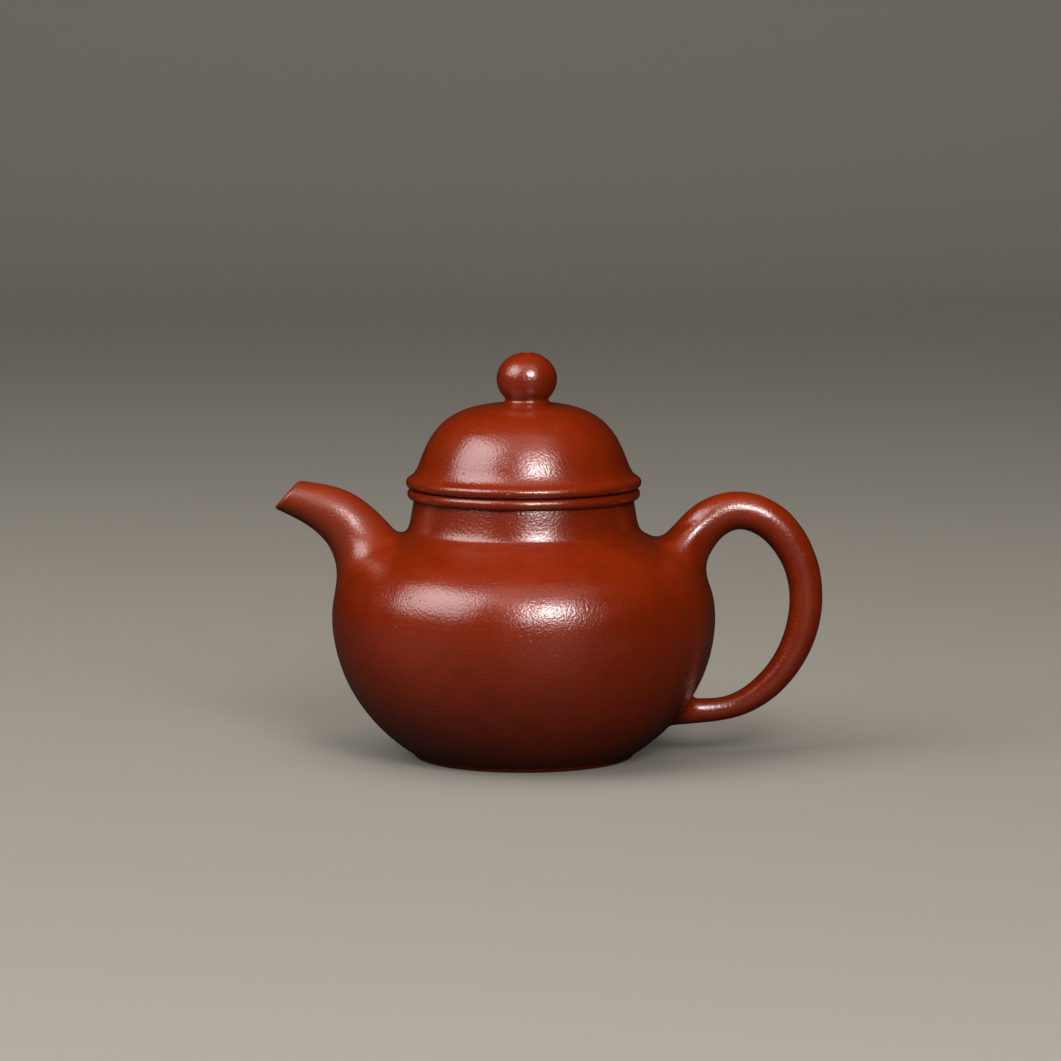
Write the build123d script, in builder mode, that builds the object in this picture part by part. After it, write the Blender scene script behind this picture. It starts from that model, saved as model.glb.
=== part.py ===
"""Unglazed clay teapot: a round belly with a necked mouth, an overlay lid, a curved spout and a coil handle.

Every piece of clay that a potter makes and lutes on is its own solid.
Millimetres, +Z up.  The origin is the centre of the foot, on the plane that the pot stands on.
The spout points to -X and the handle to +X.
"""

import os

from build123d import *

# Belly: an ellipse below its widest point and a Bezier curve above it
BELLY_RADIUS = 45.0
BELLY_HEIGHT = 33.0  # of the widest point
BELLY_DROP = 39.5  # vertical half-axis of the lower ellipse
SHOULDER_CURVE = ((BELLY_RADIUS, 45.6), (36.3, 49.0))  # control points between belly and neck
WALL = 2.6
INNER_SHOULDER_CURVE = ((BELLY_RADIUS - WALL, 44.4), (35.2, 46.6))
FLOOR_TOP = 3.2
FOOT_EDGE = 0.8  # rounding of the foot's outer edge
BASE_RADIUS = 21.5
BASE_RECESS = 0.8
SHOULDER_SEAM_RADIUS = 30.6

# Neck and mouth
NECK_BASE_RADIUS = 28.4
NECK_BASE_HEIGHT = 52.5
NECK_CURVE = ((27.0, 53.9), (26.1, 58.0))  # control points from the neck's base to its top
NECK_TOP_RADIUS = 26.5
NECK_TOP = 60.8
NECK_BORE_RADIUS = 23.7
NECK_LAND_RADIUS = 27.6  # where the flat underside of the neck's land meets the inner shoulder
MOUTH_TOP = 63.4
MOUTH_BORE_RADIUS = 20.6
BEAD_SEAM_RADIUS = 25.8  # where each bead is luted round its flat ring
BEAD_ROUND = 0.8
LIP_BEAD_NOSE = (27.5, 62.3)

# Lid: it rests on the mouth, and its flange hangs in the mouth's bore
SEAT_GAP = 0.05
LID_BOTTOM = MOUTH_TOP + SEAT_GAP
LID_RING_TOP = 66.0
LID_BEAD_NOSE = (27.8, 64.8)
FLANGE_CLEARANCE = 0.1
FLANGE_RADIUS = MOUTH_BORE_RADIUS - FLANGE_CLEARANCE
FLANGE_WALL = 2.2
FLANGE_DEPTH = 10.0
DOME_SEAM_RADIUS = 27.2
DOME_COVE = ((25.2, 66.9), (24.7, 68.2))  # control points of the cove at the dome's base
DOME_WAIST = (24.3, 69.6)
DOME_TOP = 83.5
DOME_CURVE = ((20.7, 79.7), (15.7, DOME_TOP))
DOME_WALL = 2.4
DOME_INNER_CURVE = ((18.9, 77.5), (14.7, DOME_TOP - DOME_WALL))

# Knob: a ball drawn in to a short neck, set a little off the lid's axis and pierced by the vent
KNOB_OFFSET = 0.7
KNOB_BOTTOM = 83.1
KNOB_SEAM_RADIUS = 5.9
KNOB_NECK = (5.2, 84.4)
KNOB_EQUATOR = (7.1, 88.9)
KNOB_CROWN = (4.7, 93.75)
KNOB_TOP = 95.2
VENT_RADIUS = 1.0

# Spout, from inside the belly to beyond the mouth: x, z, outer radius, bore radius
SPOUT = (
    (-32.0, 41.6, 10.4, 6.0),
    (-36.4, 47.9, 8.9, 5.6),
    (-39.7, 53.0, 7.2, 4.8),
    (-44.4, 57.2, 6.2, 4.0),
    (-49.6, 59.6, 5.05, 3.2),
    (-54.4, 61.15, 4.15, 2.6),
    (-60.5, 63.0, 3.2, 2.3),
)
SPOUT_LIP = (-55.7, 61.7)
SPOUT_LIP_TILT = 42.0  # degrees above the horizontal that the cut lip faces
SPOUT_LIP_EDGE = 0.5  # rounding of the lip's outer edge

# Tea opening from the belly into the spout, and the pierced half ball over it
OPENING = (-37.2, 47.4)
OPENING_TILT = 58.0  # degrees above the horizontal that the opening faces
OPENING_RADIUS = 6.0
STRAINER_SINK = 3.4  # from the opening's point down to the half ball's centre
STRAINER_RADIUS = 8.2
STRAINER_WALL = 1.2
STRAINER_HOLE_RADIUS = 0.8
STRAINER_RINGS = ((26.0, 6), (50.0, 12), (72.0, 16))  # degrees off the axis, holes in the ring

# Handle, a solid coil from inside the shoulder to inside the lower belly: x, z, radius
HANDLE = (
    (34.4, 44.6, 8.0),
    (38.7, 50.2, 5.7),
    (43.4, 55.5, 5.0),
    (50.1, 57.95, 4.5),
    (57.5, 55.65, 4.45),
    (63.05, 49.4, 4.2),
    (66.05, 40.5, 3.95),
    (65.5, 31.0, 3.8),
    (61.9, 22.2, 3.55),
    (55.55, 15.1, 3.15),
    (48.6, 11.5, 2.75),
    (42.0, 10.6, 2.9),
    (36.5, 10.5, 3.3),
    (31.5, 10.5, 3.6),
)

# Half sections are drawn here, so that the seams of the turned faces lie clear of spout and handle
HALF_SECTION = Plane.YZ


def line_through(stations):
    """The smooth line in the XZ plane through the stations of a tube."""
    return Spline(*[(station[0], 0, station[1]) for station in stations], mode=Mode.PRIVATE)


def cross_plane(line, x, z):
    """The plane across a tube's line at one of its stations."""
    return Plane(origin=(x, 0, z), x_dir=(0, 1, 0), z_dir=line % line.param_at_point((x, 0, z)))


def facing_plane(point, tilt):
    """A plane through a point (x, z), facing -X and tilted up by an angle."""
    facing = Vector(-1, 0, 0).rotate(Axis.Y, tilt)
    return Plane(origin=(point[0], 0, point[1]), x_dir=(0, 1, 0), z_dir=facing)


def draw_bead(bottom, nose, top):
    """Draws the half section of a rounded strip that is luted round a flat ring."""
    Line((BEAD_SEAM_RADIUS, top), (BEAD_SEAM_RADIUS, bottom))
    Line((BEAD_SEAM_RADIUS, bottom), (nose[0] - BEAD_ROUND, bottom))
    Spline(
        (nose[0] - BEAD_ROUND, bottom), nose, (nose[0] - BEAD_ROUND, top), tangents=((1, 0.2), (-1, 0.2))
    )
    Line((nose[0] - BEAD_ROUND, top), (BEAD_SEAM_RADIUS, top))


# The whole pot's outside and its tea space, which shape the pieces below
with BuildPart() as envelope:
    with BuildSketch(HALF_SECTION):
        with BuildLine():
            EllipticalCenterArc((0, BELLY_HEIGHT), BELLY_RADIUS, BELLY_DROP, start_angle=-90, arc_size=90)
            Bezier((BELLY_RADIUS, BELLY_HEIGHT), *SHOULDER_CURVE, (NECK_BASE_RADIUS, NECK_BASE_HEIGHT))
            Bezier((NECK_BASE_RADIUS, NECK_BASE_HEIGHT), *NECK_CURVE, (NECK_TOP_RADIUS, NECK_TOP))
            Line((NECK_TOP_RADIUS, NECK_TOP), (0, NECK_TOP))
            Line((0, NECK_TOP), (0, BELLY_HEIGHT - BELLY_DROP))
        make_face()
    revolve(axis=Axis.Z)
    split(bisect_by=Plane.XY)
    fillet(edges().group_by(Axis.Z)[0], radius=FOOT_EDGE)

inner_radius = BELLY_RADIUS - WALL
inner_drop = BELLY_DROP - WALL
neck_land = (NECK_LAND_RADIUS, NECK_BASE_HEIGHT - WALL)
with BuildPart() as tea_space:
    with BuildSketch(HALF_SECTION):
        with BuildLine():
            EllipticalCenterArc((0, BELLY_HEIGHT), inner_radius, inner_drop, start_angle=-90, arc_size=90)
            Bezier((inner_radius, BELLY_HEIGHT), *INNER_SHOULDER_CURVE, neck_land)
            Line(neck_land, (NECK_BORE_RADIUS, neck_land[1]))
            Line((NECK_BORE_RADIUS, neck_land[1]), (NECK_BORE_RADIUS, NECK_TOP))
            Line((NECK_BORE_RADIUS, NECK_TOP), (0, NECK_TOP))
            Line((0, NECK_TOP), (0, BELLY_HEIGHT - inner_drop))
        make_face()
    revolve(axis=Axis.Z)
    split(bisect_by=Plane.XY.offset(FLOOR_TOP))


# Belly wall, with the foot's ring and the tea opening
with BuildPart() as body_wall:
    add(envelope.part)
    add(tea_space.part, mode=Mode.SUBTRACT)
    with BuildSketch(Plane.XY):
        Circle(BASE_RADIUS)
    extrude(amount=FLOOR_TOP, mode=Mode.SUBTRACT)
    with BuildSketch(Plane.XY.offset(BELLY_HEIGHT)):
        Circle(SHOULDER_SEAM_RADIUS)
    extrude(amount=NECK_TOP - BELLY_HEIGHT, mode=Mode.SUBTRACT)
    with BuildSketch(facing_plane(OPENING, OPENING_TILT)):
        Circle(OPENING_RADIUS)
    extrude(amount=2 * WALL, both=True, mode=Mode.SUBTRACT)
body_wall.part.label = "body_wall"

# Base, a disc set into the belly wall a little above the foot's ring
with BuildPart() as base_disc:
    with BuildSketch(Plane.XY.offset(BASE_RECESS)):
        Circle(BASE_RADIUS)
    extrude(amount=FLOOR_TOP - BASE_RECESS)
base_disc.part.label = "base_disc"

# Shoulder, the ring that closes the belly and carries the neck
with BuildPart() as shoulder_disc:
    add(envelope.part)
    add(tea_space.part, mode=Mode.SUBTRACT)
    with BuildSketch(Plane.XY.offset(BELLY_HEIGHT)):
        Circle(SHOULDER_SEAM_RADIUS)
    extrude(amount=NECK_BASE_HEIGHT - BELLY_HEIGHT, mode=Mode.INTERSECT)
shoulder_disc.part.label = "shoulder_disc"

# Neck, a short collar with a waist
with BuildPart() as neck_collar:
    add(envelope.part)
    add(tea_space.part, mode=Mode.SUBTRACT)
    with BuildSketch(Plane.XY.offset(NECK_BASE_HEIGHT)):
        Circle(SHOULDER_SEAM_RADIUS)
    extrude(amount=NECK_TOP - NECK_BASE_HEIGHT, mode=Mode.INTERSECT)
neck_collar.part.label = "neck_collar"

# Mouth, a flat ring that narrows the neck to the bore that guides the lid
with BuildPart() as mouth_ring:
    with BuildSketch(Plane.XY.offset(NECK_TOP)):
        Circle(BEAD_SEAM_RADIUS)
        Circle(MOUTH_BORE_RADIUS, mode=Mode.SUBTRACT)
    extrude(amount=MOUTH_TOP - NECK_TOP)
mouth_ring.part.label = "mouth_ring"

# Lip bead, a rounded strip round the mouth
with BuildPart() as lip_bead:
    with BuildSketch(HALF_SECTION):
        with BuildLine():
            draw_bead(NECK_TOP, LIP_BEAD_NOSE, MOUTH_TOP)
        make_face()
    revolve(axis=Axis.Z)
lip_bead.part.label = "lip_bead"

# Spout, a tapering hollow tube whose root is flared onto the belly and whose lip is cut oblique
spout_line = line_through(SPOUT)
with BuildPart() as spout:
    for x, z, radius, bore in SPOUT:
        with BuildSketch(cross_plane(spout_line, x, z)):
            Circle(radius)
    loft()
    split(bisect_by=facing_plane(SPOUT_LIP, SPOUT_LIP_TILT), keep=Keep.BOTTOM)
    for x, z, radius, bore in SPOUT:
        with BuildSketch(cross_plane(spout_line, x, z)):
            Circle(bore)
    loft(mode=Mode.SUBTRACT)
    lip_edges = faces().filter_by(GeomType.PLANE).sort_by(Axis.Z)[-1].edges().sort_by(SortBy.LENGTH)
    fillet(lip_edges[-1], radius=SPOUT_LIP_EDGE)
    fillet(lip_edges[0], radius=SPOUT_LIP_EDGE / 2)
    add(envelope.part, mode=Mode.SUBTRACT)
spout.part.label = "spout"

# Strainer, a pierced half ball luted inside the belly over the tea opening
strainer_plane = facing_plane(OPENING, OPENING_TILT).offset(-STRAINER_SINK)
with BuildPart() as strainer:
    with Locations(strainer_plane):
        Sphere(STRAINER_RADIUS)
        Sphere(STRAINER_RADIUS - STRAINER_WALL, mode=Mode.SUBTRACT)
    add(tea_space.part, mode=Mode.INTERSECT)
    for angle, count in STRAINER_RINGS:
        for step in range(count):
            turned = strainer_plane.rotated((0, 180 - angle, 0)).rotated((0, 0, 360 * step / count))
            with BuildSketch(turned):
                Circle(STRAINER_HOLE_RADIUS)
            extrude(amount=STRAINER_RADIUS + 1, mode=Mode.SUBTRACT)
strainer.part.label = "strainer"

# Handle
handle_line = line_through(HANDLE)
with BuildPart() as handle:
    for x, z, radius in HANDLE:
        with BuildSketch(cross_plane(handle_line, x, z)):
            Circle(radius)
    loft()
    add(envelope.part, mode=Mode.SUBTRACT)
handle.part.label = "handle"

# Lid ring, the flat ring that rests on the mouth
with BuildPart() as lid_ring:
    with BuildSketch(Plane.XY.offset(LID_BOTTOM)):
        Circle(BEAD_SEAM_RADIUS)
        Circle(FLANGE_RADIUS - FLANGE_WALL, mode=Mode.SUBTRACT)
    extrude(amount=LID_RING_TOP - LID_BOTTOM)
lid_ring.part.label = "lid_ring"

# Lid bead, a rounded strip round the lid, a little wider than the lip bead below it
with BuildPart() as lid_bead:
    with BuildSketch(HALF_SECTION):
        with BuildLine():
            draw_bead(LID_BOTTOM, LID_BEAD_NOSE, LID_RING_TOP)
        make_face()
    revolve(axis=Axis.Z)
lid_bead.part.label = "lid_bead"

# Lid flange, which hangs inside the mouth's bore and keeps the lid central
with BuildPart() as lid_flange:
    with BuildSketch(Plane.XY.offset(LID_BOTTOM)):
        Circle(FLANGE_RADIUS)
        Circle(FLANGE_RADIUS - FLANGE_WALL, mode=Mode.SUBTRACT)
    extrude(amount=-FLANGE_DEPTH)
lid_flange.part.label = "lid_flange"

# Lid dome, a shell that rises from a cove on the lid ring
with BuildPart() as lid_dome:
    with BuildSketch(HALF_SECTION):
        with BuildLine():
            Bezier((DOME_SEAM_RADIUS, LID_RING_TOP), *DOME_COVE, DOME_WAIST)
            Bezier(DOME_WAIST, *DOME_CURVE, (0, DOME_TOP))
            Line((0, DOME_TOP), (0, DOME_TOP - DOME_WALL))
            Bezier((DOME_WAIST[0] - DOME_WALL, LID_RING_TOP), *DOME_INNER_CURVE, (0, DOME_TOP - DOME_WALL))
            Line((DOME_WAIST[0] - DOME_WALL, LID_RING_TOP), (DOME_SEAM_RADIUS, LID_RING_TOP))
        make_face()
    revolve(axis=Axis.Z)
    with BuildSketch(Plane.XY.offset(KNOB_BOTTOM)):
        with Locations((KNOB_OFFSET, 0)):
            Circle(KNOB_SEAM_RADIUS)
    extrude(amount=DOME_WALL, mode=Mode.SUBTRACT)
    with BuildSketch(Plane.XY.offset(LID_RING_TOP)):
        with Locations((KNOB_OFFSET, 0)):
            Circle(VENT_RADIUS)
    extrude(amount=KNOB_TOP - LID_RING_TOP, mode=Mode.SUBTRACT)
lid_dome.part.label = "lid_dome"

# Knob
with BuildPart() as knob:
    with BuildSketch(HALF_SECTION.offset(KNOB_OFFSET)):
        with BuildLine():
            Line((VENT_RADIUS, KNOB_TOP), (VENT_RADIUS, KNOB_BOTTOM))
            Line((VENT_RADIUS, KNOB_BOTTOM), (KNOB_SEAM_RADIUS, KNOB_BOTTOM))
            Spline((KNOB_SEAM_RADIUS, KNOB_BOTTOM), KNOB_NECK, KNOB_EQUATOR, tangents=((-1, 0.4), (0, 1)))
            Spline(KNOB_EQUATOR, KNOB_CROWN, (VENT_RADIUS, KNOB_TOP), tangents=((0, 1), (-1, 0)))
        make_face()
    revolve(axis=Axis((KNOB_OFFSET, 0, 0), (0, 0, 1)))
knob.part.label = "knob"


os.makedirs("parts", exist_ok=True)
pieces = (
    body_wall,
    base_disc,
    shoulder_disc,
    neck_collar,
    mouth_ring,
    lip_bead,
    spout,
    strainer,
    handle,
    lid_ring,
    lid_bead,
    lid_flange,
    lid_dome,
    knob,
)
for piece in pieces:
    export_step(piece.part, f"parts/{piece.part.label}.step")
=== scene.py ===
"""Looks of a small unglazed clay teapot: red clay burnished to a soft gloss, on a plain pale floor.

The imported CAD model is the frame. Lengths are millimetres in the frame's own axes until a mesh or a Blender
object is made from them. Each piece of clay but the strainer is rebuilt as a closed smooth mesh in place of
its CAD node: the turned pieces from their half outlines, and the spout and the handle as tubes whose roots
flow into the pot.
"""

import math

import bpy
import numpy as np
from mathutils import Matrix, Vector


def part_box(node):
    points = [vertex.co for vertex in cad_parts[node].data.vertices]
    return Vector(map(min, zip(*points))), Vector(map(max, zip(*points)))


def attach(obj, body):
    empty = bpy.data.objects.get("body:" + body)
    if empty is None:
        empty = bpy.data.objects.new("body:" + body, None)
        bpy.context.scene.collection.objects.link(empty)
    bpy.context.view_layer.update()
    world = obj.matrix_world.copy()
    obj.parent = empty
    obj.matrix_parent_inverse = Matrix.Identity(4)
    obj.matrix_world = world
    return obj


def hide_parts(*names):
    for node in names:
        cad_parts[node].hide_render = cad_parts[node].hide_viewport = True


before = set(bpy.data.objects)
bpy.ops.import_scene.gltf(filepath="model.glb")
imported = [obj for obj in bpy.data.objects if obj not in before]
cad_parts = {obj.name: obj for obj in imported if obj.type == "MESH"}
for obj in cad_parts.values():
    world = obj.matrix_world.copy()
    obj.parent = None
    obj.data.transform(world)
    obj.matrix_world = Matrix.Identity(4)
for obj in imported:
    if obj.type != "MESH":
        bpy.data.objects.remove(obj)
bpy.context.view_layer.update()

MM = 0.001
AROUND = 512  # points in each ring of a turned piece
STEP = 0.45  # from ring to ring on a visible face
HIDDEN_STEP = 1.8  # and on a face inside the pot or under it
SPOUT_BURNISH = 0.55  # the spout is softer in gloss than the pot


def reach(node):
    """Radius, bottom and top of a turned CAD node."""
    low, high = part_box(node)
    return high[1] / MM, low[2] / MM, high[2] / MM


# The pot, from the frame's boxes and a few shape values of its own
BELLY_RADIUS, _, _ = reach("body_wall")
BASE_RADIUS, BASE_RECESS, FLOOR_TOP = reach("base_disc")
SHOULDER_SEAM, _, NECK_BASE = reach("shoulder_disc")
NECK_BASE_RADIUS, _, NECK_TOP = reach("neck_collar")
RING_RADIUS, _, MOUTH_TOP = reach("mouth_ring")
LIP_REACH, _, _ = reach("lip_bead")
BELLY_HEIGHT = 33.0  # of the belly's widest place
BELLY_DROP = 39.5  # from there to where the belly's ellipse would close below the foot
WALL = 2.6
NECK_BORE = 23.7  # the bores are radii
NECK_WAIST = 25.75
MOUTH_BORE = 20.6
FOOT_EDGE = 0.9  # height at which the foot's rounding ends
BEAD_THICK = 1.3
LIP_NOSE = (LIP_REACH - 0.25, 62.0)  # outermost place of the lower lip: radius, height

# The lid
_, LID_BOTTOM, LID_RING_TOP = reach("lid_ring")
LID_REACH, _, _ = reach("lid_bead")
LID_NOSE = (LID_REACH - 0.2, 64.72)  # outermost place of the upper lip: radius, height
FLANGE_RADIUS, FLANGE_BOTTOM, _ = reach("lid_flange")
FLANGE_BORE = 18.3
DOME_WAIST = (24.35, 69.6)  # where the dome leaves its cove: radius, height
DOME_TOP = 83.5
DOME_WALL = 2.4
KNOB_RADIUS, KNOB_BOTTOM, KNOB_TOP = reach("knob")
KNOB_X = (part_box("knob")[0][0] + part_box("knob")[1][0]) / 2 / MM
KNOB_EQUATOR = 88.85
VENT_RADIUS = 1.0

# Spout, from inside the belly to beyond the lip: x, z, outer radius, bore radius
SPOUT = (
    (-32.0, 41.6, 10.4, 6.0),
    (-36.4, 47.9, 8.5, 5.6),
    (-39.7, 53.0, 7.1, 4.8),
    (-44.4, 57.2, 6.2, 4.0),
    (-49.6, 59.6, 5.05, 3.2),
    (-54.4, 61.15, 4.15, 2.6),
    (-60.5, 63.0, 3.2, 2.3),
)
SPOUT_LIP = (-55.7, 61.7)
SPOUT_LIP_TILT = 42.0  # degrees above the horizontal that the cut lip faces
OPENING = (-37.2, 47.4)  # the tea opening in the belly's wall
OPENING_TILT = 58.0
OPENING_RADIUS = 6.0

# Handle, from inside the shoulder to inside the lower belly: x, z, radius
HANDLE = (
    (34.4, 44.6, 7.2),
    (38.7, 50.2, 5.6),
    (43.4, 55.5, 4.95),
    (50.1, 57.95, 4.5),
    (57.5, 55.65, 4.45),
    (63.05, 49.4, 4.2),
    (66.05, 40.5, 3.95),
    (65.5, 31.0, 3.8),
    (61.9, 22.2, 3.55),
    (55.55, 15.1, 3.15),
    (48.6, 11.5, 2.75),
    (42.0, 10.6, 2.9),
    (36.5, 10.5, 3.3),
    (31.5, 10.5, 3.6),
)


# ---- Curves -------------------------------------------------------------------------------------------


def bezier(a, b, c, d, steps=400):
    """Points along a cubic Bezier curve."""
    a, b, c, d = (np.array(p, float) for p in (a, b, c, d))
    t = np.linspace(0, 1, steps)[:, None]
    return (1 - t) ** 3 * a + 3 * (1 - t) ** 2 * t * b + 3 * (1 - t) * t**2 * c + t**3 * d


def arc(centre, radii, start, end, steps=200):
    """Points along an elliptical arc, from one angle to another in degrees."""
    angle = np.radians(np.linspace(start, end, steps))
    return np.stack((centre[0] + radii[0] * np.cos(angle), centre[1] + radii[1] * np.sin(angle)), axis=1)


def full_arc(centre, radii, start, end, fullness):
    """Points along an arc of a superellipse: the larger the fullness above 2, the squarer its corners."""
    angle = np.radians(np.linspace(start, end, 240))
    across, up = (np.sign(f) * np.abs(f) ** (2 / fullness) for f in (np.cos(angle), np.sin(angle)))
    return np.stack((centre[0] + radii[0] * across, centre[1] + radii[1] * up), axis=1)


def line(*corners):
    """Straight stretches through corners."""
    return np.array(corners, float)


def lengths(curve):
    """The length along a curve at each of its points."""
    return np.concatenate(([0.0], np.cumsum(np.linalg.norm(np.diff(curve, axis=0), axis=1))))


def spaced(curve, step):
    """The same curve with its points about one step apart."""
    along = lengths(curve)
    even = np.linspace(0, along[-1], max(2, round(along[-1] / step) + 1))
    return np.stack([np.interp(even, along, column) for column in curve.T], axis=1)


def rounded(corners, radius):
    """A closed outline with straight sides, with its corners rounded."""
    step = 0.12
    corners = np.array(corners, float)
    before = np.roll(corners, 1, axis=0) - corners
    after = np.roll(corners, -1, axis=0) - corners
    t = np.linspace(0, 1, max(3, round(1.5 * radius / step)))[:, None]
    stretches = []
    for corner, back, ahead in zip(corners, before, after):
        start = corner + back * min(0.5, radius / np.linalg.norm(back))
        end = corner + ahead * min(0.5, radius / np.linalg.norm(ahead))
        stretches.append((1 - t) ** 2 * start + 2 * (1 - t) * t * corner + t**2 * end)
    return np.concatenate(stretches)


def parted(curve, radius):
    """The two halves of an inward-running outline, parted at a radius."""
    height = np.interp(-radius, -curve[:, 0], curve[:, 1])
    seam = np.array([[radius, height]])
    outer = np.concatenate((curve[curve[:, 0] > radius], seam))
    inner = np.concatenate((seam, curve[curve[:, 0] < radius]))
    return outer, inner


def spline(x, y, at):
    """A natural cubic spline through the points (x, y), read off at other places."""
    gap = np.diff(x)
    system = np.eye(len(x))
    right = np.zeros(len(x))
    for i in range(1, len(x) - 1):
        system[i, i - 1 : i + 2] = gap[i - 1], 2 * (gap[i - 1] + gap[i]), gap[i]
        right[i] = 6 * ((y[i + 1] - y[i]) / gap[i] - (y[i] - y[i - 1]) / gap[i - 1])
    bend = np.linalg.solve(system, right)
    i = np.clip(np.searchsorted(x, at) - 1, 0, len(x) - 2)
    a = (x[i + 1] - at) / gap[i]
    b = 1 - a
    curved = (a**3 - a) * bend[i] + (b**3 - b) * bend[i + 1]
    return a * y[i] + b * y[i + 1] + curved * gap[i] ** 2 / 6


# ---- Half outlines of the turned pieces ---------------------------------------------------------------

shoulder_curve = bezier(
    (BELLY_RADIUS, BELLY_HEIGHT), (BELLY_RADIUS, 45.6), (36.3, 49.0), (NECK_BASE_RADIUS, NECK_BASE)
)
neck_curve = bezier((NECK_BASE_RADIUS, NECK_BASE), (26.6, 53.4), (26.5, 56.9), (NECK_WAIST, NECK_TOP))
inner_shoulder_curve = bezier(
    (BELLY_RADIUS - WALL, BELLY_HEIGHT), (BELLY_RADIUS - WALL, 44.4), (35.2, 46.6), (27.6, NECK_BASE - WALL)
)
lower_belly = arc((0, BELLY_HEIGHT), (BELLY_RADIUS, BELLY_DROP), -90, 0, 2000)
lower_belly = lower_belly[lower_belly[:, 1] > FOOT_EDGE]
inner_belly = arc((0, BELLY_HEIGHT), (BELLY_RADIUS - WALL, BELLY_DROP - WALL), 0, -90, 2000)
inner_belly = inner_belly[inner_belly[:, 1] > FLOOR_TOP]
belly_upper, shoulder_outer = parted(shoulder_curve, SHOULDER_SEAM)
inner_upper, shoulder_inner = parted(inner_shoulder_curve, SHOULDER_SEAM)

# The clay is smoothed over the crease between shoulder and neck, this far to each side
CREASE_SOFT = 1.1
crease_low = shoulder_curve[np.searchsorted(-shoulder_curve[:, 0], -(NECK_BASE_RADIUS + CREASE_SOFT))]
crease_high = neck_curve[np.searchsorted(neck_curve[:, 1], NECK_BASE + CREASE_SOFT)]
crease = bezier(
    crease_low,
    crease_low + 0.6 * ((NECK_BASE_RADIUS, NECK_BASE) - crease_low),
    crease_high + 0.6 * ((NECK_BASE_RADIUS, NECK_BASE) - crease_high),
    crease_high,
)
neck_visible = np.concatenate((crease, neck_curve[neck_curve[:, 1] > crease_high[1]]))

# The pot's whole outer skin, which the spout and the handle are smoothed onto
above_belly = (shoulder_curve[:, 0] < BELLY_RADIUS) & (shoulder_curve[:, 0] > crease_low[0])
pot_outline = np.concatenate((lower_belly, shoulder_curve[above_belly], neck_visible))
pot_outline = spaced(pot_outline, 0.05)
pot_heading = np.gradient(pot_outline, axis=0)
pot_normals = np.stack((pot_heading[:, 1], -pot_heading[:, 0]), axis=1)
pot_normals /= np.linalg.norm(pot_normals, axis=1, keepdims=True)


def on_pot(points):
    """How far points stand outside the pot, the nearest points on its skin and the normals there."""
    radius = np.hypot(points[..., 0], points[..., 1])
    flat = np.stack((radius, points[..., 2]), axis=-1)
    near = np.linalg.norm(flat[..., None, :] - pot_outline, axis=-1).argmin(axis=-1)
    normal = pot_normals[near]
    height = ((flat - pot_outline[near]) * normal).sum(axis=-1)
    foot = flat - height[..., None] * normal
    turn = points[..., :2] / radius[..., None]
    foot = np.concatenate((turn * foot[..., :1], foot[..., 1:]), axis=-1)
    normal = np.concatenate((turn * normal[..., :1], normal[..., 1:]), axis=-1)
    return height, foot, normal


# ---- Meshes -------------------------------------------------------------------------------------------

rng = np.random.default_rng(11)


def hand_waves(count, shortest, longest, height):
    """Random waves, each a direction and number, a start and a height, for the unevenness of hand work."""
    heading = rng.normal(size=(count, 3))
    heading /= np.linalg.norm(heading, axis=1, keepdims=True)
    wave = rng.uniform(shortest, longest, count)
    start = rng.uniform(0, 2 * math.pi, count)
    return heading * (2 * math.pi / wave)[:, None], start, height * wave / longest


WAVES = (hand_waves(16, 10, 34, 0.022), hand_waves(18, 3.4, 8, 0.006))
WAVE_DEPTH = 0.06


def unevenness(points):
    """How far the burnished clay lies from its smooth shape: inward, by at most twice the wave depth."""
    total = np.zeros(len(points))
    for number, start, height in WAVES:
        total += np.sin(points @ number.T + start) @ height
    return WAVE_DEPTH * (np.tanh(total / WAVE_DEPTH) - 1)


def skin(name, rings, burnish, ends="joined"):
    """A closed mesh over rings of points. Its ends are joined to each other, or each filled with a fan."""
    count, around = rings.shape[:2]
    points = rings.reshape(-1, 3)
    burnish = np.repeat(burnish, around)
    ring = np.arange(count if ends == "joined" else count - 1)[:, None]
    here = np.arange(around)[None, :]
    beside = (here + 1) % around
    above = (ring + 1) % count
    corners = (ring * around + here, ring * around + beside, above * around + beside, above * around + here)
    faces = np.stack(corners, axis=-1).reshape(-1, 4)
    fans = []
    if ends == "filled":
        middles = np.stack((rings[0].mean(axis=0), rings[-1].mean(axis=0)))
        low, high = len(points), len(points) + 1
        last = (count - 1) * around
        fans = [(low, (j + 1) % around, j) for j in range(around)]
        fans += [(high, last + j, last + (j + 1) % around) for j in range(around)]
        points = np.concatenate((points, middles))
        burnish = np.concatenate((burnish, burnish[:1], burnish[-1:]))
    a, b, c, d = (points[faces[:, k]] for k in range(4))
    volume = (np.cross(a, b) * c).sum() + (np.cross(a, c) * d).sum()
    # Unevenness follows the visible faces alone, so that two pieces still meet at the seam they share
    shown = burnish[faces].min(axis=1) > 0
    facing = np.cross(c - a, d - b)[shown] * np.sign(volume)
    outward = np.zeros_like(points)
    for k in range(4):
        np.add.at(outward, faces[shown, k], facing)
    outward /= np.maximum(np.linalg.norm(outward, axis=1, keepdims=True), 1e-9)
    points = points + outward * (burnish * unevenness(points))[:, None]
    faces = faces.tolist() + [list(fan) for fan in fans]
    if volume < 0:
        faces = [face[::-1] for face in faces]
    return smooth_object(name, points, faces, burnish)


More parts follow.
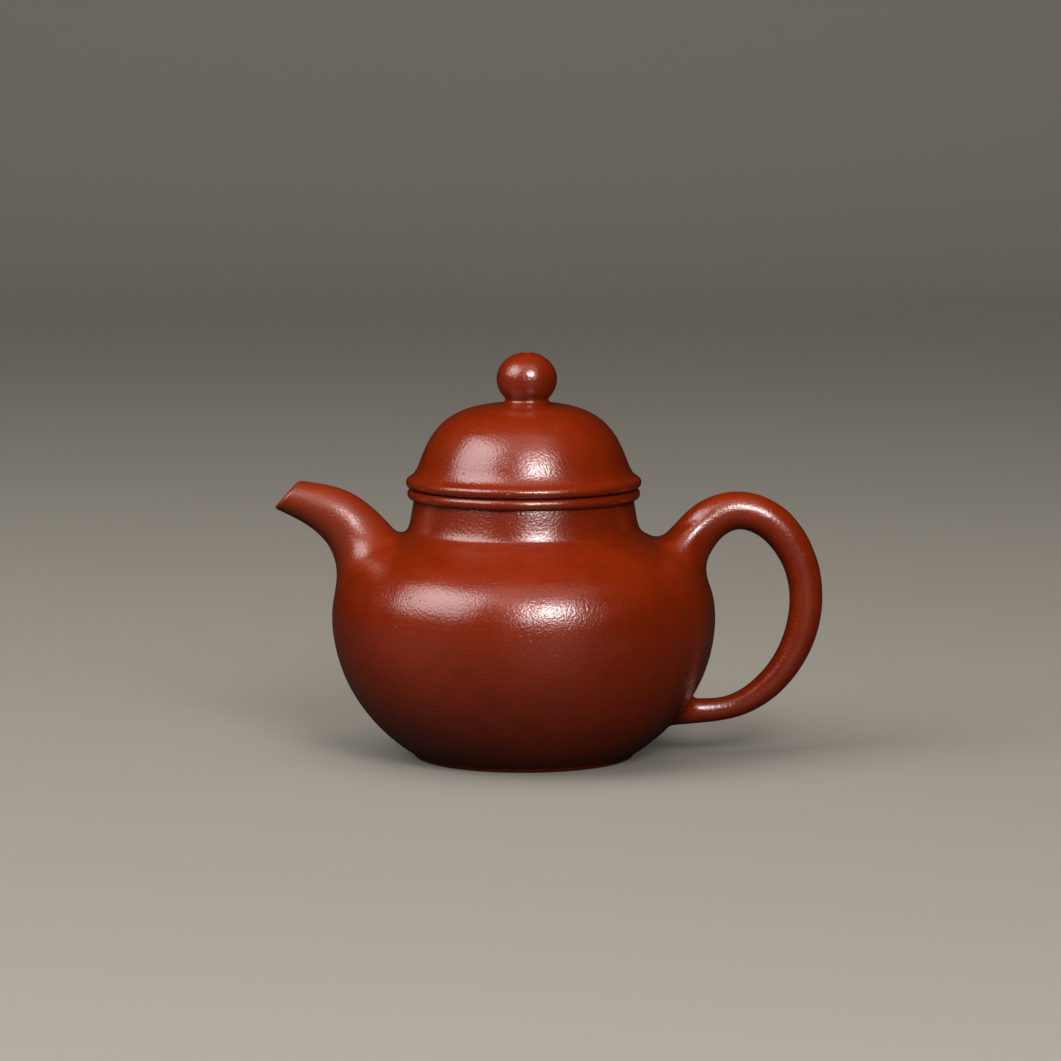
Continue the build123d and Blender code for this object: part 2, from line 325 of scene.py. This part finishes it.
def smooth_object(name, points, faces, burnish):
    """An object in the scene, shaded smooth but for its sharp edges, with the burnish kept at its points."""
    mesh = bpy.data.meshes.new(name)
    mesh.from_pydata(points * MM, [], faces)
    mesh.shade_smooth()
    mesh.set_sharp_from_angle(angle=math.radians(40))
    attribute = mesh.attributes.new("burnish", "FLOAT", "POINT")
    attribute.data.foreach_set("value", burnish.astype(np.float32))
    mesh.update()
    piece = bpy.data.objects.new(name, mesh)
    bpy.context.scene.collection.objects.link(piece)
    return piece


def turned(name, stretches, shift=None, around=AROUND):
    """A closed piece turned about the vertical axis from stretches of outline, each with its burnish."""
    outline = np.concatenate([curve for curve, _ in stretches])
    burnish = np.concatenate([np.full(len(curve), value, float) for curve, value in stretches])
    fresh = np.linalg.norm(outline - np.roll(outline, 1, axis=0), axis=1) > 1e-4
    outline, burnish = outline[fresh], burnish[fresh]
    angle = np.linspace(0, 2 * math.pi, around, endpoint=False)
    rings = np.empty((len(outline), around, 3))
    rings[..., 0] = outline[:, :1] * np.cos(angle)
    rings[..., 1] = outline[:, :1] * np.sin(angle)
    rings[..., 2] = outline[:, 1:]
    if shift is not None:
        rings[..., 0] += shift(outline[:, 0])[:, None]
    return skin(name, rings, burnish)


class Tube:
    """A round tube in the XZ plane through stations of x, z and one or more radii."""

    def __init__(self, stations):
        rows = np.array(stations, float)
        chord = lengths(rows[:, :2])
        fine = np.linspace(0, chord[-1], 4000)
        self.rows = np.stack([spline(chord, column, fine) for column in rows.T], axis=1)
        self.along = lengths(self.rows[:, :2])
        self.heading = np.gradient(self.rows[:, :2], self.along, axis=0)

    def centre(self, at):
        """Points on the tube's line."""
        x, z = (np.interp(at, self.along, self.rows[:, k]) for k in (0, 1))
        return np.stack((x, np.zeros_like(x), z), axis=-1)

    def skin(self, at, angle, radius=2):
        """Points on the tube's skin, or on its bore where radius is 3."""
        x, z, r = (np.interp(at, self.along, self.rows[:, k]) for k in (0, 1, radius))
        dx, dz = (np.interp(at, self.along, self.heading[:, k]) for k in (0, 1))
        out = r * np.cos(angle)
        return np.stack((x + out * dz, r * np.sin(angle) * np.ones_like(x), z - out * dx), axis=-1)


def where(height, below, above):
    """The places at which a height that is negative at below and positive at above passes zero."""
    for _ in range(40):
        middle = (below + above) / 2
        positive = height(middle) > 0
        above = np.where(positive, middle, above)
        below = np.where(positive, below, middle)
    return (below + above) / 2


def laid_flat(vectors, normals):
    """Unit vectors with their part along the normals taken away."""
    vectors = vectors - (vectors * normals).sum(axis=-1, keepdims=True) * normals
    return vectors / np.linalg.norm(vectors, axis=-1, keepdims=True)


def smoothed_root(tube, angle, inside, outside, back, out):
    """Where a tube's skin is left at each angle, and the rings that carry it smoothly onto the pot's skin.

    Back is how far from the pot the tube begins to flare, and out is how far the flare reaches over it. The
    pot's normals at the last ring come too.
    """
    away = math.copysign(1, outside - inside)
    ones = np.ones_like(angle)
    hit = where(lambda at: on_pot(tube.skin(at, angle))[0], inside * ones, outside * ones)
    leave = hit + away * back
    start = tube.skin(leave, angle)
    ahead = tube.skin(leave - away * 0.05, angle) - start
    ahead /= np.linalg.norm(ahead, axis=-1, keepdims=True)
    touch = tube.skin(hit, angle)
    _, _, normal = on_pot(touch)
    outward = laid_flat(touch - tube.centre(hit), normal)
    _, foot, normal = on_pot(touch + outward * out[:, None])
    outward = laid_flat(outward, normal)
    softness = 2.0
    t = np.linspace(0, 1, 31)[1:, None, None]
    rings = (
        (2 * t**3 - 3 * t**2 + 1) * start
        + (t**3 - 2 * t**2 + t) * ahead * softness * back[:, None]
        + (3 * t**2 - 2 * t**3) * foot
        + (t**3 - t**2) * outward * softness * out[:, None]
    )
    return leave, rings, normal


SINK = 0.3  # of a root's edge under the pot's skin


def buried_cap(edge):
    """Rings that close a root under the pot's skin, from its sunken edge inward."""
    depth = 0.9
    _, _, normal = on_pot(edge)
    middle = edge.mean(axis=0)
    rings = [edge - SINK * normal]
    for share in (0.8, 0.55, 0.3, 0.1):
        _, foot, inner_normal = on_pot(middle + (edge - middle) * share)
        rings.append(foot - depth * inner_normal)
    return np.array(rings)


# ---- Pieces of the pot --------------------------------------------------------------------------------


def finished(piece, body, slot, *nodes):
    """Puts a piece on its body, with the clay material, in place of its CAD nodes. The slot is not used."""
    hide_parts(*nodes)
    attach(piece, body)
    piece.data.materials.append(CLAY)


def make_body_wall():
    outer = lower_belly[0]
    foot_round = bezier((outer[0] - 1.3, 0), (outer[0] - 0.6, 0), outer - (0.35, 0.55), outer, 8)
    inner = BASE_RADIUS
    foot_inner = bezier((inner, 0.5), (inner, 0.1), (inner + 0.1, 0), (inner + 0.5, 0), 8)
    piece = turned(
        "body_wall",
        (
            (line((inner, FLOOR_TOP), (inner, 0.5)), 0),
            (foot_inner, 0),
            (foot_round, np.linspace(0, 1, len(foot_round))),
            (spaced(lower_belly, STEP), 1),
            (spaced(belly_upper, STEP), 1),
            (spaced(inner_upper[::-1], HIDDEN_STEP), 0),
            (spaced(inner_belly, HIDDEN_STEP), 0),
        ),
    )
    facing = math.radians(OPENING_TILT)
    out = np.array((-math.cos(facing), 0, math.sin(facing)))
    up = np.array((math.sin(facing), 0, math.cos(facing)))
    angle = np.linspace(0, 2 * math.pi, 64, endpoint=False)[:, None]
    circle = OPENING_RADIUS * (np.cos(angle) * up + np.sin(angle) * np.array((0, 1, 0)))
    middle = np.array((OPENING[0], 0, OPENING[1]))
    ends = np.stack((middle - 6 * out + circle, middle + 4 * out + circle))
    drill = skin("drill", ends, np.zeros(2), "filled")
    cut = piece.modifiers.new("tea opening", "BOOLEAN")
    cut.object = drill
    cut.solver = "EXACT"
    drilled = bpy.data.meshes.new_from_object(piece.evaluated_get(bpy.context.evaluated_depsgraph_get()))
    piece.modifiers.remove(cut)
    piece.data = drilled
    bpy.data.objects.remove(drill)
    finished(piece, "pot", "burnished_clay", "body_wall")


def make_base_disc():
    edge = 0.35
    dome = bezier((BASE_RADIUS - edge, BASE_RECESS), (15, BASE_RECESS + 0.1), (6, 1.15), (0.4, 1.15), 60)
    piece = turned(
        "base_disc",
        (
            (line((0.4, FLOOR_TOP), (BASE_RADIUS, FLOOR_TOP)), 0),
            (line((BASE_RADIUS, FLOOR_TOP), (BASE_RADIUS, BASE_RECESS + edge)), 0),
            (spaced(dome, HIDDEN_STEP), 0.5),
        ),
    )
    finished(piece, "pot", "plain_clay", "base_disc")


def make_shoulder_disc():
    land = NECK_BASE - WALL
    piece = turned(
        "shoulder_disc",
        (
            (spaced(shoulder_outer, STEP), 1),
            (line((NECK_BASE_RADIUS, NECK_BASE), (NECK_BORE, NECK_BASE)), 0),
            (line((NECK_BORE, NECK_BASE), (NECK_BORE, land + 0.5), (NECK_BORE + 0.5, land)), 0),
            (spaced(shoulder_inner[::-1], HIDDEN_STEP), 0),
        ),
    )
    finished(piece, "pot", "burnished_clay", "shoulder_disc")


def make_neck_collar():
    sunk = crease_low - (0.1, 0.35)
    piece = turned(
        "neck_collar",
        (
            (spaced(neck_visible, STEP / 2), 1),
            (line((NECK_WAIST, NECK_TOP), (NECK_BORE, NECK_TOP)), 0),
            (line((NECK_BORE, NECK_TOP), (NECK_BORE, NECK_BASE - 0.05)), 0),
            (line((NECK_BASE_RADIUS - 0.3, NECK_BASE - 0.05), sunk), 0),
        ),
    )
    finished(piece, "pot", "burnished_clay", "neck_collar")


def make_mouth_ring():
    corners = (
        (MOUTH_BORE, NECK_TOP),
        (RING_RADIUS, NECK_TOP),
        (RING_RADIUS, MOUTH_TOP),
        (MOUTH_BORE, MOUTH_TOP),
    )
    piece = turned("mouth_ring", ((rounded(corners, 0.5), 0),))
    finished(piece, "pot", "plain_clay", "mouth_ring")


def make_lip_bead():
    radius, height = LIP_NOSE
    centre = (radius - BEAD_THICK, height)
    under = full_arc(centre, (BEAD_THICK, height - NECK_TOP + 0.05), -84, 0, 2.0)
    over = full_arc(centre, (BEAD_THICK, MOUTH_TOP - height), 0, 90, 2.1)
    nose = np.concatenate((under, over))
    piece = turned(
        "lip_bead",
        (
            (line((RING_RADIUS - 0.1, NECK_TOP), nose[0]), 0),
            (spaced(nose, 0.12), 1),
            (line(nose[-1], (RING_RADIUS - 0.1, MOUTH_TOP)), 0),
        ),
    )
    finished(piece, "pot", "burnished_clay", "lip_bead")


def make_spout():
    tube = Tube(SPOUT)
    angle = np.linspace(0, 2 * math.pi, 160, endpoint=False)
    ones = np.ones_like(angle)
    middle, end = tube.along[-1] * 0.55, tube.along[-1]
    tilt = math.radians(SPOUT_LIP_TILT)
    facing = np.array((-math.cos(tilt), 0, math.sin(tilt)))
    lip = np.array((SPOUT_LIP[0], 0, SPOUT_LIP[1]))
    outer_end = where(lambda at: (tube.skin(at, angle) - lip) @ facing, middle * ones, end * ones)
    bore_end = where(lambda at: (tube.skin(at, angle, 3) - lip) @ facing, middle * ones, end * ones)
    bore_root = where(lambda at: on_pot(tube.skin(at, angle, 3))[0] + 1.0, 0 * ones, middle * ones)
    # The root flares least above the spout, and most below it
    side = np.sin(angle) ** 2
    below = (1 - np.cos(angle)) / 2
    back, out = 1.8 + 6.7 * np.sqrt(below) + 3.5 * side, 1.5 + 4.7 * below**0.7 + 1.6 * side
    leave, root, normal = smoothed_root(tube, angle, 0.0, middle, back, out)

    # The lip is a round nose between the skin and the bore
    outer, inner = tube.skin(outer_end, angle), tube.skin(bore_end, angle, 3)
    onward = outer - tube.skin(outer_end - 0.2, angle)
    onward /= np.linalg.norm(onward, axis=-1, keepdims=True)
    nose_length = 0.8
    turn = np.radians(np.linspace(0, 180, 16))[:, None, None]
    crest = (outer + inner) / 2 - nose_length * onward
    nose = crest - (outer - inner) / 2 * np.cos(turn) + nose_length * onward * np.sin(turn)

    share = np.linspace(0, 1, 70)[:, None]
    bore = tube.skin(bore_root + (bore_end - nose_length - bore_root) * share, angle, 3)
    coat = tube.skin(outer_end - nose_length + (leave - outer_end + nose_length) * share, angle)
    rings = np.concatenate((bore[:-1], nose, coat[1:], root, root[-1:] - SINK * normal))
    soft = SPOUT_BURNISH
    burnish = (np.zeros(len(bore) - 1), np.linspace(0, soft, len(nose)), np.full(len(coat) - 1, soft))
    burnish = np.concatenate((*burnish, np.linspace(soft, 1, len(root)), [0]))
    piece = skin("spout", rings, burnish)
    finished(piece, "pot", "burnished_clay", "spout")


def make_handle():
    tube = Tube(HANDLE)
    angle = np.linspace(0, 2 * math.pi, 128, endpoint=False)
    end = tube.along[-1]
    # Both roots flare most at their sides, and the upper one more than the lower
    side = np.sin(angle) ** 2
    toward_neck = (1 - np.cos(angle)) / 2
    back, out = 4.6 - 2.0 * toward_neck + 9.5 * side, 4.6 - 2.4 * toward_neck + 2.6 * side
    upper, upper_root, _ = smoothed_root(tube, angle, 0.0, 0.25 * end, back, out)
    back, out = 2.2 - 0.4 * toward_neck + 3.0 * side, 2.0 - 0.4 * toward_neck + 1.0 * side
    lower, lower_root, _ = smoothed_root(tube, angle, end, 0.8 * end, back, out)
    share = np.linspace(0, 1, 260)[:, None]
    coil = tube.skin(upper + (lower - upper) * share, angle)
    caps = [buried_cap(root[-1]) for root in (upper_root, lower_root)]
    rings = np.concatenate((caps[0][::-1], upper_root[::-1], coil, lower_root, caps[1]))
    burnish = np.ones(len(rings))
    burnish[: len(caps[0])] = 0
    burnish[-len(caps[1]) :] = 0
    piece = skin("handle", rings, burnish, "filled")
    finished(piece, "pot", "burnished_clay", "handle")


# ---- Pieces of the lid --------------------------------------------------------------------------------


def make_lid_ring():
    corners = (
        (FLANGE_BORE, LID_BOTTOM),
        (RING_RADIUS, LID_BOTTOM),
        (RING_RADIUS, LID_RING_TOP),
        (FLANGE_BORE, LID_RING_TOP),
    )
    piece = turned("lid_ring", ((rounded(corners, 0.3), 0),))
    finished(piece, "lid", "plain_clay", "lid_ring")


def make_lid_bead():
    radius, height = LID_NOSE
    centre = (radius - BEAD_THICK, height)
    under = full_arc(centre, (BEAD_THICK, height - LID_BOTTOM), -90, 0, 2.1)
    over = full_arc(centre, (BEAD_THICK, 1.32), 0, 66, 2.0)
    piece = turned(
        "lid_bead",
        (
            (line((RING_RADIUS - 0.1, LID_BOTTOM), under[0]), 0),
            (spaced(np.concatenate((under, over)), 0.12), 1),
            (line(over[-1] - (0.05, 0.1), (RING_RADIUS - 0.1, LID_RING_TOP - 0.3)), 0),
        ),
    )
    finished(piece, "lid", "burnished_clay", "lid_bead")


def make_lid_flange():
    corners = (
        (FLANGE_BORE, FLANGE_BOTTOM),
        (FLANGE_RADIUS, FLANGE_BOTTOM),
        (FLANGE_RADIUS, LID_BOTTOM),
        (FLANGE_BORE, LID_BOTTOM),
    )
    piece = turned("lid_flange", ((rounded(corners, 0.7), 0),))
    finished(piece, "lid", "plain_clay", "lid_flange")


def toward_knob(radius):
    """The shift of the dome's rings, from none at mid radius to the knob's own at the vent."""
    share = np.clip((12 - radius) / (12 - VENT_RADIUS), 0, 1)
    return KNOB_X * share**2 * (3 - 2 * share)


def make_lid_dome():
    inner_top = DOME_TOP - DOME_WALL
    inner_radius = DOME_WAIST[0] - DOME_WALL
    foot = (LID_NOSE[0] - BEAD_THICK + 0.5, 65.93)
    cove = bezier(foot, (25.75, 66.5), (25.05, 67.65), DOME_WAIST)
    dome = bezier(DOME_WAIST, (20.7, 79.7), (15.7, DOME_TOP), (0, DOME_TOP))
    dome = dome[dome[:, 0] > VENT_RADIUS]
    hollow = bezier((0, inner_top), (14.7, inner_top), (18.9, 77.5), (inner_radius, LID_RING_TOP))
    hollow = hollow[hollow[:, 0] > VENT_RADIUS + 0.3]
    piece = turned(
        "lid_dome",
        (
            (line((foot[0] - 0.1, LID_RING_TOP - 0.4), cove[0]), 0),
            (spaced(cove, STEP / 2), 1),
            (spaced(dome, STEP), 1),
            (line((VENT_RADIUS, DOME_TOP), (VENT_RADIUS, inner_top + 0.2)), 0),
            (spaced(hollow, HIDDEN_STEP / 2), 0),
        ),
        shift=toward_knob,
    )
    finished(piece, "lid", "burnished_clay", "lid_dome")


def make_knob():
    rise, fall = KNOB_TOP - KNOB_EQUATOR, 6.5
    ball = arc((0, KNOB_EQUATOR), (KNOB_RADIUS, fall), -43, 0)
    crown = arc((0, KNOB_EQUATOR), (KNOB_RADIUS, rise), 0, 90)
    crown = crown[crown[:, 0] > VENT_RADIUS + 0.25]
    foot = bezier((6.3, 83.28), (5.6, 83.36), (5.0, 83.7), ball[0])
    edge = bezier(crown[-1], (1.05, KNOB_TOP - 0.02), (1.0, KNOB_TOP - 0.1), (1.0, KNOB_TOP - 0.3), 8)
    piece = turned(
        "knob",
        (
            (line((VENT_RADIUS, KNOB_BOTTOM + 0.1), (6.2, KNOB_BOTTOM)), 0),
            (spaced(np.concatenate((foot, ball, crown)), 0.15), 1),
            (edge, 0.5),
        ),
        shift=lambda radius: np.full(len(radius), KNOB_X),
        around=256,
    )
    finished(piece, "lid", "burnished_clay", "knob")


# ---- Materials ----------------------------------------------------------------------------------------

RED_BROWN = (0.142, 0.0130, 0.0006, 1)
RED_ORANGE = (0.196, 0.0208, 0.0012, 1)
DARK_GRAIN = (0.07, 0.006, 0.001, 1)
LIGHT_GRAIN = (0.34, 0.060, 0.012, 1)
UNBURNISHED = (0.22, 0.045, 0.013, 1)
FLOOR_TONES = ((0.190, 0.173, 0.148, 1), (0.215, 0.196, 0.168, 1))
FLOOR_TO_POT = (0.015, 0.014, 0.012, 1)  # the floor's colour to all but the camera
STAGE_GLOW = 0.06  # keeps the far floor and the room from black
STAGE_TINT = (1.0, 0.93, 0.82, 1)
LAMP_WHITE = (1.0, 0.985, 0.96)


class Nodes:
    """A short way to write node trees."""

    def __init__(self, tree):
        self.tree = tree
        tree.nodes.clear()

    def add(self, kind, settings=(), **inputs):
        """A node with settings and inputs, where an input is a value or another node's output."""
        node = self.tree.nodes.new(kind)
        for key, value in dict(settings).items():
            setattr(node, key, value)
        for key, value in inputs.items():
            socket = node.inputs[int(key[1:])] if key[0] == "i" and key[1:].isdigit() else node.inputs[key]
            if isinstance(value, bpy.types.NodeSocket):
                self.tree.links.new(value, socket)
            else:
                socket.default_value = value
        return node

    def math(self, operation, a, b=0.0, c=0.0):
        return self.add("ShaderNodeMath", {"operation": operation}, i0=a, i1=b, i2=c).outputs[0]

    def noise(self, vector, scale, detail=2.0, roughness=0.5):
        """Noise about zero, from -0.5 to 0.5, with scale in waves per unit of the vector."""
        noise = {"Vector": vector, "Scale": scale, "Detail": detail, "Roughness": roughness}
        return self.math("SUBTRACT", self.add("ShaderNodeTexNoise", **noise).outputs["Fac"], 0.5)

    def ramp(self, value, low, high):
        """A value taken from 0 at low to 1 at high."""
        node = self.add("ShaderNodeMapRange", {"interpolation_type": "SMOOTHSTEP"}, Value=value)
        node.inputs["From Min"].default_value = low
        node.inputs["From Max"].default_value = high
        return node.outputs["Result"]

    def mix(self, share, a, b):
        """A colour between two."""
        node = self.add("ShaderNodeMix", {"data_type": "RGBA"}, i0=share, i6=a, i7=b)
        return node.outputs[2]


def clay_material():
    """Red clay, burnished outside and plain where the burnish attribute is low."""
    material = bpy.data.materials.new("red_clay")
    material.use_nodes = True
    n = Nodes(material.node_tree)
    place = n.add("ShaderNodeTexCoord").outputs["Object"]
    place = n.add("ShaderNodeVectorMath", {"operation": "SCALE"}, i0=place, Scale=1 / MM).outputs[0]
    burnish = n.add("ShaderNodeAttribute", {"attribute_name": "burnish"}).outputs["Fac"]

    # Strokes of the burnishing tool run round the pot: fine in height, long around
    parts = n.add("ShaderNodeSeparateXYZ", Vector=place).outputs
    flat = n.add("ShaderNodeCombineXYZ", X=parts[0], Y=parts[1])
    turn = n.add("ShaderNodeVectorMath", {"operation": "NORMALIZE"}, i0=flat.outputs[0]).outputs[0]
    turn = n.add("ShaderNodeVectorMath", {"operation": "SCALE"}, i0=turn, Scale=4.0).outputs[0]
    rise = n.add("ShaderNodeCombineXYZ", Z=n.math("MULTIPLY", parts[2], 2.2))
    run = n.add("ShaderNodeVectorMath", {"operation": "ADD"}, i0=turn, i1=rise.outputs[0]).outputs[0]
    strokes = n.noise(run, 1.0, 3.0)

    broad = n.noise(place, 0.045, 2.0)
    cloud = n.noise(place, 0.22, 3.0)
    grain = n.noise(place, 3.0, 2.0, 0.6)
    pear = n.noise(place, 1.75, 2.0, 0.5)

    # Colour: fired red-orange, a little browner in clouds, with fine dark and light grains
    tint = n.math("MULTIPLY_ADD", broad, 1.1, 0.5)
    tint = n.math("MULTIPLY_ADD", cloud, 0.7, tint)
    tint = n.math("MULTIPLY_ADD", strokes, 0.35, tint)
    colour = n.mix(tint, RED_BROWN, RED_ORANGE)
    dark = n.ramp(grain, 0.13, 0.24)
    colour = n.mix(n.math("MULTIPLY", dark, 0.35), colour, DARK_GRAIN)
    light = n.ramp(n.noise(place, 1.7, 1.0), 0.23, 0.30)
    colour = n.mix(n.math("MULTIPLY", light, 0.22), colour, LIGHT_GRAIN)
    plain = n.mix(0.35, colour, UNBURNISHED)
    colour = n.mix(burnish, plain, colour)

    # Roughness: a soft gloss, duller where the clay isn't burnished
    rough = n.math("MULTIPLY_ADD", cloud, 0.10, 0.27)
    rough = n.math("MULTIPLY_ADD", pear, 0.10, rough)
    rough = n.math("MULTIPLY_ADD", strokes, 0.08, rough)
    rough = n.math("ADD", rough, n.math("MULTIPLY", n.math("SUBTRACT", 1.0, burnish), 0.28))

    # Relief in millimetres: pear skin, finer grain, strokes and a few small pits
    relief = n.math("MULTIPLY", pear, 0.075)
    relief = n.math("MULTIPLY_ADD", grain, 0.016, relief)
    relief = n.math("MULTIPLY_ADD", strokes, 0.012, relief)
    pits = n.ramp(n.noise(place, 0.9, 1.0), -0.235, -0.30)
    relief = n.math("SUBTRACT", relief, n.math("MULTIPLY", pits, 0.045))
    bump = n.add("ShaderNodeBump", Height=relief, Strength=1.0, Distance=MM).outputs[0]

    shader = n.add("ShaderNodeBsdfPrincipled", Roughness=rough, Normal=bump, IOR=1.55)
    n.tree.links.new(colour, shader.inputs["Base Color"])
    shader.inputs["Coat Roughness"].default_value = 0.17
    n.tree.links.new(n.math("MULTIPLY", burnish, 0.5), shader.inputs["Coat Weight"])
    n.tree.links.new(bump, shader.inputs["Coat Normal"])
    n.add("ShaderNodeOutputMaterial", Surface=shader.outputs[0])
    return material


def stage_material():
    """A plain pale matt floor with a trace of tone in it. It throws little light back onto the pot."""
    material = bpy.data.materials.new("pale_floor")
    material.use_nodes = True
    n = Nodes(material.node_tree)
    place = n.add("ShaderNodeTexCoord").outputs["Object"]
    tone = n.math("MULTIPLY_ADD", n.noise(place, 6.0, 3.0), 0.06, 0.5)
    colour = n.mix(tone, *FLOOR_TONES)
    seen = n.add("ShaderNodeLightPath").outputs["Is Camera Ray"]
    colour = n.mix(seen, FLOOR_TO_POT, colour)
    glow = n.math("MULTIPLY", seen, STAGE_GLOW)
    shader = n.add("ShaderNodeBsdfPrincipled", Roughness=0.65)
    n.tree.links.new(colour, shader.inputs["Base Color"])
    shader.inputs["Emission Color"].default_value = STAGE_TINT
    n.tree.links.new(glow, shader.inputs["Emission Strength"])
    n.add("ShaderNodeOutputMaterial", Surface=shader.outputs[0])
    return material


# ---- Stage, light and camera, in metres ---------------------------------------------------------------

POT_MIDDLE = (0, 0, 0.055)  # where the soft boxes face
CAMERA_PLACE = (0.00156, -1.050, 0.175)
CAMERA_DOWN = 6.615  # degrees below the horizontal
SENSOR_WIDTH = 36.0  # millimetres, as the focal length is
FOCAL_LENGTH = 153.0


def make_stage():
    """A floor that curves up into a backdrop."""
    half, front, depth, bend, height = 3.0, -3.0, 1.6, 0.6, 2.5
    profile = [(front, 0.0), (depth, 0.0)]
    for step in range(1, 17):
        turn = math.radians(90 * step / 16)
        profile.append((depth + bend * math.sin(turn), bend * (1 - math.cos(turn))))
    profile.append((depth + bend, height))
    points = [(x, y, z) for y, z in profile for x in (-half, half)]
    faces = [(2 * i, 2 * i + 1, 2 * i + 3, 2 * i + 2) for i in range(len(profile) - 1)]
    mesh = bpy.data.meshes.new("floor")
    mesh.from_pydata(points, [], faces)
    mesh.shade_smooth()
    mesh.materials.append(stage_material())
    floor = bpy.data.objects.new("floor", mesh)
    bpy.context.scene.collection.objects.link(floor)


def panel(name, place, size, power, colour):
    """A rectangular light that faces down, with its power in watts."""
    data = bpy.data.lights.new(name, "AREA")
    data.shape = "RECTANGLE"
    data.size, data.size_y = size
    data.energy = power
    data.color = colour
    light = bpy.data.objects.new(name, data)
    light.location = place
    bpy.context.scene.collection.objects.link(light)
    return light


def softbox(name, azimuth, elevation, distance, size, power, colour):
    """A rectangular light that faces the pot. Azimuth is in degrees from the camera's side towards +X."""
    a, e = math.radians(azimuth), math.radians(elevation)
    offset = np.array((math.sin(a) * math.cos(e), -math.cos(a) * math.cos(e), math.sin(e)))
    light = panel(name, np.array(POT_MIDDLE) + distance * offset, size, power, colour)
    light.rotation_euler = (math.pi / 2 - e, 0, a)


def make_lights():
    """Soft boxes and a panel that the gloss mirrors, two panels that it doesn't, and the room's own light."""
    softbox("key", 16, 30, 1.2, (0.36, 0.36), 9.0, (0.985, 0.99, 1.0))
    softbox("key_rim", 16, 30, 1.25, (0.72, 0.80), 7.0, (0.99, 0.99, 1.0))
    softbox("fill", -62, 38, 1.2, (1.0, 0.82), 14.5, (0.95, 0.98, 1.0))
    panel("overhead", (-0.3, -0.68, 1.25), (2.0, 0.87), 5.5, (1.0, 0.985, 0.98))
    for name, place, size, power in (
        ("top", (-0.1, -0.1, 1.25), (1.2, 1.0), 11.0),
        ("backdrop", (0, 2.0, 1.0), (3.0, 0.8), 7.5),
    ):
        panel(name, place, size, power, LAMP_WHITE).visible_glossy = False
    world = bpy.data.worlds.new("studio")
    world.use_nodes = True
    n = Nodes(world.node_tree)
    seen = n.add("ShaderNodeLightPath").outputs["Is Camera Ray"]
    strength = n.math("MULTIPLY_ADD", seen, STAGE_GLOW, 0.01)
    background = n.add("ShaderNodeBackground", Color=STAGE_TINT, Strength=strength)
    n.add("ShaderNodeOutputWorld", Surface=background.outputs[0])
    bpy.context.scene.world = world


def make_camera():
    data = bpy.data.cameras.new("camera")
    data.sensor_width = SENSOR_WIDTH
    data.lens = FOCAL_LENGTH
    data.clip_end = 20
    camera = bpy.data.objects.new("camera", data)
    camera.location = CAMERA_PLACE
    camera.rotation_euler = (math.radians(90 - CAMERA_DOWN), 0, 0)
    bpy.context.scene.collection.objects.link(camera)
    bpy.context.scene.camera = camera


# ---- The whole scene ----------------------------------------------------------------------------------

CLAY = clay_material()
make_body_wall()
make_base_disc()
make_shoulder_disc()
make_neck_collar()
make_mouth_ring()
make_lip_bead()
make_spout()
make_handle()
make_lid_ring()
make_lid_bead()
make_lid_flange()
make_lid_dome()
make_knob()
# The strainer keeps its CAD shape
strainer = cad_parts["strainer"]
strainer.data.materials.clear()
strainer.data.materials.append(CLAY)
make_stage()
make_lights()
make_camera()
bpy.context.scene.view_settings.view_transform = "Standard"
bpy.context.scene.view_settings.gamma = 0.86
